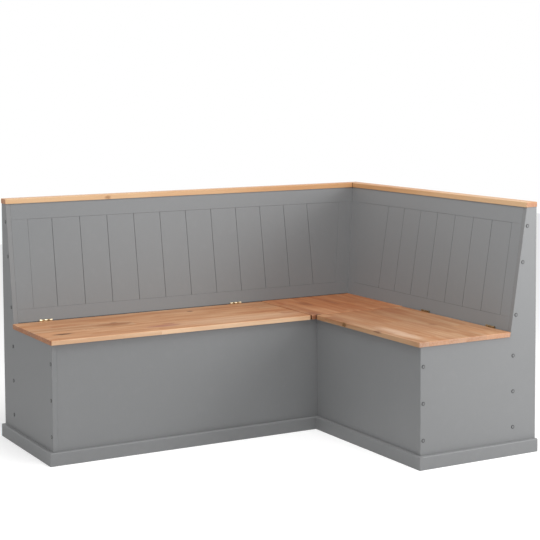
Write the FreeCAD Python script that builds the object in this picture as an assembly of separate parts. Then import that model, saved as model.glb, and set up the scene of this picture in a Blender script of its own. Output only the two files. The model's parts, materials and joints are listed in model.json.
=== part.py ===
import FreeCAD
import Part
import math
import os

V = FreeCAD.Vector

# A corner storage bench: two wings of a seat box meet in a corner, each with a backrest that
# leans back, a hinged lid and a cap board, and the corner between them has a fixed seat board.
# All sizes are in millimetres.

# Overall sizes
long_wing = 1645.0  # outer face of the left end panel to the side wall
short_wing = 1240.0  # outer face of the right end panel to the back wall
wing_depth = 525.0  # wall to the front edge of an end panel
overall_height = 940.0
seat_height = 462.0  # floor to the top of the seat

# Board thicknesses
panel_thickness = 18.0
seat_thickness = 18.0
cap_thickness = 19.0
frame_thickness = 28.0  # rails and stiles of the backrests
lining_thickness = 14.0  # boards of the backrests
plinth_thickness = 15.0
floor_thickness = 12.0

# Backrest: how far its face stands from the wall, and its frame
back_at_seat = 118.0
back_at_cap = 47.0
top_rail_width = 63.0
bottom_rail_above_seat = 52.5
long_end_stile = 67.0
short_end_stile = 56.0
long_corner_stile = 68.0
short_corner_stile = 57.0

# Tongued and grooved boards of the backrests
long_first_board = 100.0
short_first_board = 118.0
board_width = 117.0
narrowest_corner_board = 90.0
tongue_thickness = 5.0
tongue_setback = 4.5  # face of a board to its tongue
tongue_length = 6.0
tongue_clearance = 0.2
groove_spare_depth = 1.0
board_gap = 1.4  # between the faces of two boards
board_edge_bevel = 0.4
board_frame_gap = 0.4  # from the boards to the stiles and the top rail

# Seat boards and caps
seat_front_overhang = 11.0
seat_end_overhang = 6.0
seat_edge_radius = 3.0
seat_corner_radius = 6.0
lid_inner_radius = 8.0  # front corners of the lids beside the corner board
corner_board_radius = 4.0
corner_tab = 20.0  # the short wing's front edge to the end of the long lid
lid_side_gap = 4.0
corner_back_gap = 0.5
cap_end_overhang = 2.0
cap_front_overhang = 3.0
cap_edge_radius = 2.5

# Box under the seat
panel_recess = 3.0  # front panel's face behind the end panel's front edge
plinth_height = 49.0
plinth_edge_radius = 4.0
floor_height = 60.0  # top of the storage floor
cleat_width = 20.0
cleat_height = 20.0
post_width = 40.0
post_depth = 30.0

# Lid battens
batten_width = 45.0
batten_thickness = 18.0
batten_end_clearance = 8.0
batten_inset = 60.0
long_batten_count = 3
short_batten_count = 2

# Hinges
knuckle_radius = 3.5
knuckle_clearance = 0.3
knuckle_count = 5
hinge_length = 52.0
hinge_leaf_thickness = 1.5
hinge_leaf_height = 17.0
hinge_pin_radius = 1.5
hinge_pin_clearance = 0.05
long_hinge_outer_inset = 136.0  # lid end to the hinge's middle
long_hinge_inner_inset = 121.0
short_hinge_outer_inset = 124.0
short_hinge_inner_inset = 161.0

# Cover caps over the screws in the end panels
cover_radius = 7.0
cover_height = 1.6
cover_edge_bevel = 1.0
cover_sides = 16
low_screw_above_plinth = 55.0
high_screw_below_seat = 72.0
screws_per_edge = 3
stile_screw_low = 12.0  # above the bottom rail's edge
stile_screw_high = 5.0  # below the top rail's edge
stile_screw_pitch = 135.0

# Places that follow from the sizes above
seat_underside = seat_height - seat_thickness
cap_underside = overall_height - cap_thickness
lean = math.atan2(back_at_seat - back_at_cap, cap_underside - seat_height)
face_low = bottom_rail_above_seat
face_high = (cap_underside - seat_height) / math.cos(lean) - top_rail_width
front_face = wing_depth - panel_recess
front_inner = front_face - panel_thickness
seat_front = wing_depth + seat_front_overhang
spare = 40.0  # how far a blank runs past the cut that trims it
hair = 0.01  # less than this apart counts as the same place


def box(low, high):
    size = V(*high) - V(*low)
    return Part.makeBox(size.x, size.y, size.z, V(*low))


def prism(points, along):
    corners = [V(*p) for p in points]
    return Part.Face(Part.makePolygon(corners + corners[:1])).extrude(V(*along))


def rod(radius, start, end):
    along = V(*end) - V(*start)
    return Part.makeCylinder(radius, along.Length, V(*start), along)


# Each wing is made in its own coordinates: x runs from the outer end towards the corner, the
# wall is at y = 0 with the bench on its negative side, and the two wings mirror each other.


def face_distance(slope):
    # Wall to the backrest's face, at a distance up the slope from the seat
    return back_at_seat - slope * math.sin(lean)


def face_distance_at(height):
    return back_at_seat - (height - seat_height) * math.tan(lean)


def lean_back(shape):
    # From face coordinates (x, depth behind the face, distance up the slope) to the wing's
    placed = shape.copy()
    placed.rotate(V(0, 0, 0), V(1, 0, 0), -math.degrees(lean))
    placed.translate(V(0, -back_at_seat, seat_height))
    return placed


def beyond_mitre(length):
    # All that lies past the upright diagonal plane where the wings meet
    far = wing_depth + 2 * spare
    points = [(length - far, -far, -spare), (length + far, -far, -spare), (length + far, far, -spare)]
    return prism(points, (0, 0, overall_height + 2 * spare))


def behind_face(length, gap):
    # All that lies less than the gap in front of the backrest's face
    return lean_back(box((-2 * spare, -gap, -6 * spare), (length + spare, 6 * spare, 6 * spare)))


rail_foot_middle = face_distance_at(seat_underside) - frame_thickness / math.cos(lean) / 2
inner_back_rear = rail_foot_middle - panel_thickness / 2
inner_back_front = rail_foot_middle + panel_thickness / 2


# Backrest


def edge_place(edge, slope):
    # A slanted edge is the pair of its x places at the two rails
    return edge[0] + (edge[1] - edge[0]) * (slope - face_low) / (face_high - face_low)


def face_slab(left, right, low, high, near, far):
    # A flat piece between two edges, from one depth behind the face to another
    points = [
        (edge_place(left, low), near, low),
        (edge_place(right, low), near, low),
        (edge_place(right, high), near, high),
        (edge_place(left, high), near, high),
    ]
    return prism(points, (0, far - near, 0))


def shifted(edge, distance):
    return (edge[0] + distance, edge[1] + distance)


def upright(left, right, top, thickness, bevelled, groove_left, tongue_right):
    # A stile or board: tongues into both rails and its right neighbour, a groove on its left,
    # and a bevel on the front edges that stand at the bevelled places
    piece = face_slab(left, right, face_low, top, 0, thickness)
    for place in bevelled:
        edges = [e.BoundBox for e in piece.Edges]
        front = [
            e
            for e, b in zip(piece.Edges, edges)
            if b.YMax < hair and abs(b.XMin - place) < hair and abs(b.XMax - place) < hair
        ]
        piece = piece.makeChamfer(board_edge_bevel, front)
    tongue_back = tongue_setback + tongue_thickness
    reach = tongue_length if tongue_right else 0
    low = face_low - tongue_length
    high = face_high + tongue_length
    tongue = face_slab(left, shifted(right, reach), low, high, tongue_setback, tongue_back)
    piece = piece.fuse(tongue)
    if groove_left:
        depth = tongue_length + groove_spare_depth
        near = tongue_setback - tongue_clearance
        far = tongue_back + tongue_clearance
        groove = face_slab(
            shifted(left, -spare), shifted(left, depth), low - spare, high + spare, near, far
        )
        piece = piece.cut(groove)
    return piece.removeSplitter()


def rail(length, low, high, groove_low, groove_high):
    piece = box((panel_thickness, 0, low), (length + spare, frame_thickness, high))
    near = tongue_setback - tongue_clearance
    far = tongue_setback + tongue_thickness + tongue_clearance
    piece = piece.cut(box((0, near, groove_low), (length + 2 * spare, far, groove_high)))
    return lean_back(piece).cut(beyond_mitre(length))


def backrest(wing, length, end_stile, corner_stile, first_board):
    parts = {}
    groove_depth = tongue_length + groove_spare_depth
    top_edge = face_high + top_rail_width + spare
    top_rail = rail(length, face_high, top_edge, face_high - 1, face_high + groove_depth)
    above_cap_line = box(
        (-spare, -wing_depth, cap_underside), (length + spare, spare, 2 * overall_height)
    )
    parts[wing + "_top_rail"] = top_rail.cut(above_cap_line)
    foot = face_low - 3 * spare
    bottom_rail = rail(length, foot, face_low, face_low - groove_depth, face_low + 1)
    below_box_top = box((-spare, -wing_depth, 0), (length + spare, spare, seat_underside))
    parts[wing + "_bottom_rail"] = bottom_rail.cut(below_box_top)

    start = (panel_thickness, panel_thickness)
    stile_edge = shifted(start, end_stile)
    parts[wing + "_end_stile"] = lean_back(
        upright(start, stile_edge, face_high, frame_thickness, [], False, True)
    )
    corner_line = (length - face_distance(face_low), length - face_distance(face_high))
    corner_edge = shifted(corner_line, -corner_stile)
    blank_end = shifted(corner_line, 2 * spare)
    corner = upright(corner_edge, blank_end, face_high, frame_thickness, [], True, False)
    parts[wing + "_corner_stile"] = lean_back(corner).cut(beyond_mitre(length))

    # Boards of equal width after the first one, and a last one cut to the slant of the corner.
    # A gap shows where two boards meet, and a finer one round them at the frame.
    first_joint = panel_thickness + end_stile + first_board
    room = corner_edge[0] - narrowest_corner_board - first_joint
    joints = [first_joint + board_width * i for i in range(int(room // board_width) + 1)]
    at_stile = shifted(stile_edge, board_frame_gap)
    at_corner = shifted(corner_edge, -board_frame_gap)
    lefts = [at_stile] + [(x + board_gap / 2, x + board_gap / 2) for x in joints]
    rights = [(x - board_gap / 2, x - board_gap / 2) for x in joints] + [at_corner]
    board_top = face_high - board_frame_gap
    for number, (left, right) in enumerate(zip(lefts, rights), start=1):
        bevelled = [edge[0] for edge in (left, right) if edge not in (at_stile, at_corner)]
        board = upright(left, right, board_top, lining_thickness, bevelled, True, True)
        parts["%s_board_%02d" % (wing, number)] = lean_back(board)
    return parts


# Seat boards and caps


def rounded_plate(points, radii, low, high, edge_radius, keep_sharp):
    # A plate with rounded corners in plan and a softened top edge, but not where keep_sharp says
    outline = []
    count = len(points)
    for i, (x, y) in enumerate(points):
        here = V(x, y, low)
        before = V(*points[i - 1], low) - here
        after = V(*points[(i + 1) % count], low) - here
        if radii[i]:
            a = here + before.normalize() * radii[i]
            b = here + after.normalize() * radii[i]
            middle = here + (before + after) * radii[i] * (1 - math.sqrt(0.5))
            outline.append((a, middle, b))
        else:
            outline.append((here,))
    edges = []
    for i, corner in enumerate(outline):
        if len(corner) == 3:
            edges.append(Part.Arc(*corner).toShape())
        edges.append(Part.LineSegment(corner[-1], outline[(i + 1) % count][0]).toShape())
    plate = Part.Face(Part.Wire(edges)).extrude(V(0, 0, high - low))
    soft = [
        e
        for e in plate.Edges
        if e.BoundBox.ZMin > high - edge_radius / 2 and not keep_sharp(e.BoundBox.Center)
    ]
    return plate.makeFillet(edge_radius, soft)


def seat_lid(length, inner_end):
    # The lid reaches from past the end panel to the corner board, and to the hinges at the back
    rear = -inner_back_rear
    outer = -seat_end_overhang
    points = [(outer, rear), (outer, -seat_front), (inner_end, -seat_front), (inner_end, rear)]
    radii = [0, seat_corner_radius, lid_inner_radius, 0]
    plate = rounded_plate(
        points, radii, seat_underside, seat_height, seat_edge_radius, lambda c: c.y > rear - 1
    )
    return plate.cut(behind_face(length, lid_back_gap))


def spread(low, high, count):
    # Evenly spaced places from low to high
    return [low + (high - low) * i / max(count - 1, 1) for i in range(count)]


def lid_battens(outer_end, inner_end, count):
    # Evenly spaced battens under a lid, clear of the box all round
    low = outer_end + batten_inset
    high = inner_end - batten_inset - batten_width
    rear = -inner_back_front - batten_end_clearance
    front = -front_inner + batten_end_clearance
    bottom = seat_underside - batten_thickness
    solids = [
        box((x, front, bottom), (x + batten_width, rear, seat_underside))
        for x in spread(low, high, count)
    ]
    return Part.makeCompound(solids)


def cap(length):
    front = -back_at_cap - cap_front_overhang
    outer = -cap_end_overhang
    inner = length + spare
    points = [(outer, 0), (outer, front), (inner, front), (inner, 0)]
    radii = [0, cap_edge_radius, 0, 0]
    plate = rounded_plate(
        points,
        radii,
        cap_underside,
        overall_height,
        cap_edge_radius,
        lambda c: c.y > -1 or c.x > inner - 1,
    )
    return plate.cut(beyond_mitre(length))


# Seat box


def end_panel():
    # Side view, from the wall's foot round to the cut-back foot behind the plinth
    slope_foot = face_distance_at(seat_underside)
    points = [
        (0, 0, 0),
        (0, 0, cap_underside),
        (0, -back_at_cap, cap_underside),
        (0, -slope_foot, seat_underside),
        (0, -wing_depth, seat_underside),
        (0, -wing_depth, plinth_height),
        (0, -front_face, plinth_height),
        (0, -front_face, 0),
    ]
    return prism(points, (panel_thickness, 0, 0))


def plinth_section(at_end):
    # Cross-section with a rounded top edge: in y and z for the front, in x and z for the end
    back = 0.0 if at_end else front_face
    out = back + plinth_thickness
    shoulder = out - plinth_edge_radius
    turn = plinth_edge_radius * (1 - math.sqrt(0.5))
    flat = [
        (back, 0),
        (out, 0),
        (out, plinth_height - plinth_edge_radius),
        (out - turn, plinth_height - turn),
        (shoulder, plinth_height),
        (back, plinth_height),
    ]
    spots = [V(-d, 0, z) if at_end else V(0, -d, z) for d, z in flat]
    edges = [
        Part.LineSegment(spots[0], spots[1]),
        Part.LineSegment(spots[1], spots[2]),
        Part.Arc(spots[2], spots[3], spots[4]),
        Part.LineSegment(spots[4], spots[5]),
        Part.LineSegment(spots[5], spots[0]),
    ]
    return Part.Face(Part.Wire([e.toShape() for e in edges]))


def plinths(wing, length):
    # The front board covers the end board's end, and meets its neighbour on the wings' own mitre
    front = plinth_section(False)
    front.translate(V(-plinth_thickness, 0, 0))
    front = front.extrude(V(length, 0, 0)).cut(beyond_mitre(length))
    end = plinth_section(True).extrude(V(0, -front_face, 0))
    return {"plinth_%s_front" % wing: front, "plinth_%s_end" % wing: end}


def upright_board(x_low, x_high, distance_low, distance_high):
    # A board or post that stands on the floor and ends under the seat
    return box((x_low, -distance_high, 0), (x_high, -distance_low, seat_underside))


def floor_cleats(inner_end):
    # A strip along each side of the storage floor, short ones between the long ones
    low = floor_height - floor_thickness - cleat_height
    high = low + cleat_height
    start = panel_thickness
    front = -front_inner
    rear = -inner_back_front
    return [
        box((start, front, low), (inner_end, front + cleat_width, high)),
        box((start, rear - cleat_width, low), (inner_end, rear, high)),
        box((start, front + cleat_width, low), (start + cleat_width, rear - cleat_width, high)),
        box((inner_end - cleat_width, front + cleat_width, low), (inner_end, rear - cleat_width, high)),
    ]


# Cover caps on an end panel


def screw_places():
    # Distance from the wall and height of each screw: into the front panel, the inner back
    # and the backrest's end stile
    lowest = plinth_height + low_screw_above_plinth
    highest = seat_underside - high_screw_below_seat
    rows = spread(lowest, highest, screws_per_edge)
    front = front_face - panel_thickness / 2
    places = [(d, z) for d in (front, rail_foot_middle) for z in rows]
    top = face_high - stile_screw_high
    turn = FreeCAD.Rotation(V(1, 0, 0), -math.degrees(lean))
    for slope in (face_low + stile_screw_low, top - stile_screw_pitch, top):
        spot = turn.multVec(V(0, frame_thickness / 2, slope))
        places.append((back_at_seat - spot.y, seat_height + spot.z))
    return places


def ring(x, radius, distance, height):
    # A regular outline about a line along x, as a closed wire
    corners = []
    for i in range(cover_sides):
        angle = 2 * math.pi * i / cover_sides
        corners.append(V(x, radius * math.cos(angle) - distance, radius * math.sin(angle) + height))
    return Part.makePolygon(corners + corners[:1])


def cover_cap(distance, height):
    # A disc with a bevelled rim; there are many of them, so each has few sides
    outlines = [
        ring(0, cover_radius, distance, height),
        ring(cover_edge_bevel - cover_height, cover_radius, distance, height),
        ring(-cover_height, cover_radius - cover_edge_bevel, distance, height),
    ]
    return Part.makeLoft(outlines, True, True)


# Hinges: the leaves stand in the gap behind the lid, with the knuckles just above the seat

lid_back_gap = knuckle_radius + knuckle_clearance + hinge_leaf_thickness
pivot_height = seat_height + knuckle_radius + knuckle_clearance
pivot_depth = -knuckle_radius - knuckle_clearance
pivot_slope = (pivot_height - seat_height + pivot_depth * math.sin(lean)) / math.cos(lean)
pivot_distance = back_at_seat - pivot_depth * math.cos(lean) - pivot_slope * math.sin(lean)


def hinge(middle):
    # Fixed leaf, lid leaf and pin of one hinge, in face coordinates
    start = middle - hinge_length / 2
    knuckle = hinge_length / knuckle_count
    bore_radius = hinge_pin_radius + hinge_pin_clearance
    bore = rod(
        bore_radius,
        (start - 1, pivot_depth, pivot_slope),
        (start + hinge_length + 1, pivot_depth, pivot_slope),
    )
    foot = pivot_slope - hinge_leaf_height
    end = start + hinge_length
    leaves = [
        box((start, -hinge_leaf_thickness, foot), (end, 0, pivot_slope)),
        box((start, -lid_back_gap, foot), (end, -lid_back_gap + hinge_leaf_thickness, pivot_slope)),
    ]
    made = []
    for own in (0, 1):
        leaf = leaves[own]
        for i in range(knuckle_count):
            a = start + knuckle * i
            b = a + knuckle
            if i % 2 == own:
                a = a if i == 0 else a + knuckle_clearance / 2
                b = b if i == knuckle_count - 1 else b - knuckle_clearance / 2
                leaf = leaf.fuse(
                    rod(knuckle_radius, (a, pivot_depth, pivot_slope), (b, pivot_depth, pivot_slope))
                )
            else:
                a = a - knuckle_clearance / 2
                b = b + knuckle_clearance / 2
                low = pivot_slope - knuckle_radius - knuckle_clearance
                leaf = leaf.cut(box((a, -2 * knuckle_radius - spare, low), (b, spare, pivot_slope + spare)))
        made.append(lean_back(leaf.cut(bore).removeSplitter()))
    pin = rod(hinge_pin_radius, (start, pivot_depth, pivot_slope), (end, pivot_depth, pivot_slope))
    return made[0], made[1], lean_back(pin)


# One wing, from its own sizes


def wing_parts(wing, length, front_end, lid_end, divider_end, frame, insets, batten_count):
    parts = backrest(wing, length, *frame)
    parts.update(plinths(wing, length))
    parts[wing + "_end_panel"] = end_panel()
    parts[wing + "_cap"] = cap(length)
    front = box((panel_thickness, -front_face, 0), (front_end, -front_inner, seat_underside))
    parts[wing + "_front_panel"] = front
    divider_start = divider_end - panel_thickness
    parts[wing + "_divider"] = upright_board(divider_start, divider_end, inner_back_front, front_inner)
    parts[wing + "_floor_board"] = box(
        (panel_thickness, -front_inner, floor_height - floor_thickness),
        (divider_start, -inner_back_front, floor_height),
    )
    parts[wing + "_floor_cleats"] = Part.makeCompound(floor_cleats(divider_start))
    parts[wing + "_lid"] = seat_lid(length, lid_end)
    parts[wing + "_lid_battens"] = lid_battens(panel_thickness, divider_start, batten_count)
    hinges = [hinge(-seat_end_overhang + insets[0]), hinge(lid_end - insets[1])]
    for name, solids in zip(("hinge_fixed_leaves", "hinge_lid_leaves", "hinge_pins"), zip(*hinges)):
        parts[wing + "_" + name] = Part.makeCompound(solids)

    parts[wing + "_cover_caps"] = Part.makeCompound([cover_cap(*p) for p in screw_places()])
    return parts


# Places where the two wings meet
long_front_end = long_wing - front_inner + post_width
long_lid_end = long_wing - seat_front - corner_tab
long_divider_end = long_lid_end + lid_side_gap / 2 + panel_thickness / 2
short_front_end = short_wing - front_face
short_lid_end = short_wing - seat_front - lid_side_gap
short_divider_end = short_front_end - post_depth

long_parts = wing_parts(
    "long",
    long_wing,
    long_front_end,
    long_lid_end,
    long_divider_end,
    (long_end_stile, long_corner_stile, long_first_board),
    (long_hinge_outer_inset, long_hinge_inner_inset),
    long_batten_count,
)
short_parts = wing_parts(
    "short",
    short_wing,
    short_front_end,
    short_lid_end,
    short_divider_end,
    (short_end_stile, short_corner_stile, short_first_board),
    (short_hinge_outer_inset, short_hinge_inner_inset),
    short_batten_count,
)
# The long inner back runs to the far side of the short one, which butts against it
long_parts["long_inner_back"] = upright_board(
    panel_thickness, long_wing - inner_back_rear, inner_back_rear, inner_back_front
)
short_parts["short_inner_back"] = upright_board(
    panel_thickness, short_wing - inner_back_front, inner_back_rear, inner_back_front
)


def to_short_side(shape):
    # The short wing mirrors the long one across the corner's diagonal
    turned_over = shape.mirror(V(0, 0, 0), V(1, -1, 0))
    turned_over.translate(V(long_wing, -short_wing, 0))
    return turned_over


parts = dict(long_parts)
parts.update({name: to_short_side(shape) for name, shape in short_parts.items()})

# The two ends are known by the side they stand on
for old, new in {
    "long_end_panel": "left_end_panel",
    "short_end_panel": "right_end_panel",
    "plinth_long_end": "plinth_left_end",
    "plinth_short_end": "plinth_right_end",
}.items():
    parts[new] = parts.pop(old)

# Small alike pieces of both wings share a node
for name in ("floor_cleats", "hinge_pins", "cover_caps"):
    both = [parts.pop("long_" + name), parts.pop("short_" + name)]
    parts[name] = Part.makeCompound([solid for group in both for solid in group.Solids])


def corner_seat():
    # The fixed board in the corner; the end of it shows between the two lids
    start = long_lid_end + lid_side_gap
    far_x = long_wing - inner_back_rear
    far_y = -inner_back_rear
    points = [(start, far_y), (start, -seat_front), (far_x, -seat_front), (far_x, far_y)]
    plate = rounded_plate(
        points,
        [0, corner_board_radius, 0, 0],
        seat_underside,
        seat_height,
        seat_edge_radius,
        lambda c: c.y > far_y - 1 or c.x > far_x - 1,
    )
    plate = plate.cut(behind_face(long_wing, corner_back_gap))
    return plate.cut(to_short_side(behind_face(short_wing, corner_back_gap)))


parts["corner_seat"] = corner_seat()
parts["inner_corner_post"] = upright_board(
    long_wing - front_inner,
    long_front_end,
    front_face,
    short_wing - short_divider_end,
)
parts["rear_corner_post"] = upright_board(
    long_wing - inner_back_front - post_width,
    long_wing - inner_back_front,
    inner_back_front,
    inner_back_front + post_width,
)

# The origin is on the floor, under the middle of the bench's outline
middle = V((long_wing - plinth_thickness) / 2, -(short_wing + plinth_thickness) / 2, 0)
os.makedirs("parts", exist_ok=True)
for name in sorted(parts):
    shape = parts[name].copy()
    shape.translate(-middle)
    shape.exportStep("parts/%s.step" % name)

pivot = V(0, -pivot_distance, pivot_height) - middle
print("long lid turns about x at y %.3f z %.3f" % (pivot.y, pivot.z))
pivot = V(long_wing - pivot_distance, 0, pivot_height) - middle
print("short lid turns about y at x %.3f z %.3f" % (pivot.x, pivot.z))
print("%d nodes" % len(parts))
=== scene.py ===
import json
import math

import bmesh
import bpy
from mathutils import Matrix, Vector


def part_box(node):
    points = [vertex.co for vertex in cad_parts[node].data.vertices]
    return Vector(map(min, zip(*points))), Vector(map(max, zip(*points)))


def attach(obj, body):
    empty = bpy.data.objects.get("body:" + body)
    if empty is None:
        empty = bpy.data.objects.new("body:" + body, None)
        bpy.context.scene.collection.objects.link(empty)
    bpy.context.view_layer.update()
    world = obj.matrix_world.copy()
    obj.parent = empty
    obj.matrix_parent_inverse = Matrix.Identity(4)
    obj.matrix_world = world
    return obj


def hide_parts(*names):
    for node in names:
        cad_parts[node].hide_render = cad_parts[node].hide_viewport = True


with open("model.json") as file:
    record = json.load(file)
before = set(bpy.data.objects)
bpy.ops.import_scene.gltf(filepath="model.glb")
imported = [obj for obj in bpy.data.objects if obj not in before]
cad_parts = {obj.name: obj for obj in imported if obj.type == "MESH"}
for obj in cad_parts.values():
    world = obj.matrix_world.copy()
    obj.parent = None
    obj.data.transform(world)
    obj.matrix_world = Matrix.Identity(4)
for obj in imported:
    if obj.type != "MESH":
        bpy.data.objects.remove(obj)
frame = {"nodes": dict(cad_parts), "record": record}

scene = bpy.context.scene
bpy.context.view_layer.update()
nodes = frame["nodes"]
bodyOf = {n: b for b, names in frame["record"]["behaviour"]["bodies"].items() for n in names}
print("frame loaded:", len(nodes), "nodes")


# Node helpers: sums, ramps and groups with named sockets


def put(tree, kind, **settings):
    # A node with its properties set
    node = tree.nodes.new(kind)
    for key, value in settings.items():
        setattr(node, key, value)
    return node


def feed(tree, socket, value):
    # A number or a colour is set on the socket, and anything else is linked to it
    if isinstance(value, (int, float, tuple)):
        socket.default_value = value
    else:
        tree.links.new(value, socket)


def calc(tree, operation, *values, clamp=False):
    node = put(tree, "ShaderNodeMath", operation=operation, use_clamp=clamp)
    for socket, value in zip(node.inputs, values):
        feed(tree, socket, value)
    return node.outputs[0]


def plus(tree, a, b, clamp=False):
    return calc(tree, "ADD", a, b, clamp=clamp)


def minus(tree, a, b):
    return calc(tree, "SUBTRACT", a, b)


def times(tree, a, b, clamp=False):
    return calc(tree, "MULTIPLY", a, b, clamp=clamp)


def divided(tree, a, b):
    return calc(tree, "DIVIDE", a, b)


def squared(tree, a):
    return calc(tree, "POWER", calc(tree, "ABSOLUTE", a), 2.0)


def smoothBetween(tree, value, low, high, start=0.0, end=1.0):
    node = put(tree, "ShaderNodeMapRange", interpolation_type="SMOOTHSTEP")
    names = ("Value", "From Min", "From Max", "To Min", "To Max")
    for name, given in zip(names, (value, low, high, start, end)):
        feed(tree, node.inputs[name], given)
    return node.outputs["Result"]


def mixColour(tree, amount, first, second, blend="MIX"):
    node = put(tree, "ShaderNodeMix", data_type="RGBA", blend_type=blend, clamp_factor=True)
    for index, value in ((0, amount), (6, first), (7, second)):
        feed(tree, node.inputs[index], value)
    return node.outputs[2]


def tinted(tree, colour, tint):
    return mixColour(tree, 1.0, colour, tint, "MULTIPLY")


def vectorCalc(tree, operation, *values):
    node = put(tree, "ShaderNodeVectorMath", operation=operation)
    for socket, value in zip(node.inputs, values):
        feed(tree, socket, value)
    return node.outputs


def stretched(tree, vector, scale, offset=None):
    place = vectorCalc(tree, "MULTIPLY", vector, scale)[0]
    if offset is None:
        return place
    return vectorCalc(tree, "ADD", place, offset)[0]


def axes(tree, vector):
    node = put(tree, "ShaderNodeSeparateXYZ")
    tree.links.new(vector, node.inputs[0])
    return node.outputs


def joined(tree, x, y, z):
    node = put(tree, "ShaderNodeCombineXYZ")
    for socket, value in zip(node.inputs, (x, y, z)):
        feed(tree, socket, value)
    return node.outputs[0]


def noise(tree, vector, scale, detail=2.0, roughness=0.5):
    node = put(tree, "ShaderNodeTexNoise", noise_dimensions="3D")
    tree.links.new(vector, node.inputs["Vector"])
    node.inputs["Scale"].default_value = scale
    node.inputs["Detail"].default_value = detail
    node.inputs["Roughness"].default_value = roughness
    return node.outputs["Fac"]


def noiseAbout(tree, value, swing):
    # A noise made into a swing about nought
    return times(tree, minus(tree, value, 0.5), swing)


socketKinds = {"vector": "NodeSocketVector", "value": "NodeSocketFloat", "colour": "NodeSocketColor"}


def newGroup(name, inputs, outputs):
    # A shader group; returns its tree, its input sockets by name and its output node
    tree = bpy.data.node_groups.new(name, "ShaderNodeTree")
    for label, kind in inputs.items():
        tree.interface.new_socket(label, in_out="INPUT", socket_type=socketKinds[kind])
    for label, kind in outputs.items():
        tree.interface.new_socket(label, in_out="OUTPUT", socket_type=socketKinds[kind])
    return tree, put(tree, "NodeGroupInput").outputs, put(tree, "NodeGroupOutput")


# Camera: the photo's viewing angle, with the vertical shift that its framing needs
camera = {
    "place": (-2.64361, -4.76927, 1.40203),
    "yaw": 29.31,
    "pitch": 4.04,
    "roll": 0.30,
    "lens": 95.84,
    "sensor": 36.0,
    "shift": (0.0014, -0.1667),
    "clip": (0.05, 60),
}


def addCamera():
    yaw, pitch, roll = (math.radians(camera[k]) for k in ("yaw", "pitch", "roll"))
    ahead = Vector(
        (math.sin(yaw) * math.cos(pitch), math.cos(yaw) * math.cos(pitch), -math.sin(pitch))
    )
    levelRight = Vector((math.cos(yaw), -math.sin(yaw), 0))
    levelUp = levelRight.cross(ahead)
    right = levelRight * math.cos(roll) - levelUp * math.sin(roll)
    up = levelUp * math.cos(roll) + levelRight * math.sin(roll)
    data = bpy.data.cameras.new("camera")
    data.lens = camera["lens"]
    data.sensor_width = camera["sensor"]
    data.shift_x, data.shift_y = camera["shift"]
    data.clip_start, data.clip_end = camera["clip"]
    obj = bpy.data.objects.new("camera", data)
    turn = Matrix((right, up, -ahead)).transposed().to_4x4()
    obj.matrix_world = Matrix.Translation(camera["place"]) @ turn
    scene.collection.objects.link(obj)
    scene.camera = obj


addCamera()
print("camera placed")


# Light: a soft lamp near the right front, a wide one above, a weak one on the left, and the room
lamps = {
    "frontRight": {"place": (1.9, -2.2, 1.2), "aim": (0.6, -0.6, 0.4), "size": (1.2, 1.2), "watts": 36},
    "left": {"place": (-3.4, -1.6, 1.5), "aim": (-0.2, 0.0, 0.4), "size": (2.0, 2.0), "watts": 6},
    "above": {"place": (-0.4, -1.0, 3.4), "aim": (0.0, 0.1, 0.4), "size": (2.4, 2.0), "watts": 69},
}
room = {"ambient": 0.58, "background": 1.0}
ground = {"size": 14.0, "colour": (0.80, 0.80, 0.80, 1), "glow": 0.34}


def addLamps():
    for name, lamp in lamps.items():
        data = bpy.data.lights.new(name, "AREA")
        data.shape = "RECTANGLE"
        data.size, data.size_y = lamp["size"]
        data.energy = lamp["watts"]
        obj = bpy.data.objects.new(name, data)
        obj.location = lamp["place"]
        aim = Vector(lamp["aim"]) - Vector(lamp["place"])
        obj.rotation_euler = aim.to_track_quat("-Z", "Y").to_euler()
        scene.collection.objects.link(obj)


def seenDirectly(tree):
    # One where a ray from the camera, a gloss or a glass meets the surface, otherwise none
    path = put(tree, "ShaderNodeLightPath").outputs
    total = path["Is Camera Ray"]
    for name in ("Is Glossy Ray", "Is Transmission Ray"):
        total = plus(tree, total, path[name], True)
    return total


def makeWorld():
    world = bpy.data.worlds.new("studio")
    world.use_nodes = True
    tree = world.node_tree
    tree.nodes.clear()
    soft = put(tree, "ShaderNodeBackground")
    soft.inputs["Strength"].default_value = room["ambient"]
    white = put(tree, "ShaderNodeBackground")
    white.inputs["Strength"].default_value = room["background"]
    for node in (soft, white):
        node.inputs["Color"].default_value = (1, 1, 1, 1)
    mix = put(tree, "ShaderNodeMixShader")
    tree.links.new(seenDirectly(tree), mix.inputs["Fac"])
    tree.links.new(soft.outputs[0], mix.inputs[1])
    tree.links.new(white.outputs[0], mix.inputs[2])
    tree.links.new(mix.outputs[0], put(tree, "ShaderNodeOutputWorld").inputs["Surface"])
    scene.world = world


def addGround():
    # A pale floor that meets the white of the room and keeps the bench's shadow
    half = ground["size"] / 2
    mesh = bpy.data.meshes.new("ground")
    corners = [(x * half, y * half, 0) for x, y in ((-1, -1), (1, -1), (1, 1), (-1, 1))]
    mesh.from_pydata(corners, [], [(0, 1, 2, 3)])
    obj = bpy.data.objects.new("ground", mesh)
    scene.collection.objects.link(obj)
    material = bpy.data.materials.new("paleFloor")
    material.use_nodes = True
    tree = material.node_tree
    tree.nodes.clear()
    diffuse = put(tree, "ShaderNodeBsdfDiffuse")
    diffuse.inputs["Color"].default_value = ground["colour"]
    glow = put(tree, "ShaderNodeEmission")
    seen = put(tree, "ShaderNodeLightPath").outputs["Is Camera Ray"]
    tree.links.new(times(tree, seen, ground["glow"]), glow.inputs["Strength"])
    both = put(tree, "ShaderNodeAddShader")
    tree.links.new(diffuse.outputs[0], both.inputs[0])
    tree.links.new(glow.outputs[0], both.inputs[1])
    tree.links.new(both.outputs[0], put(tree, "ShaderNodeOutputMaterial").inputs["Surface"])
    mesh.materials.append(material)


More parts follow.
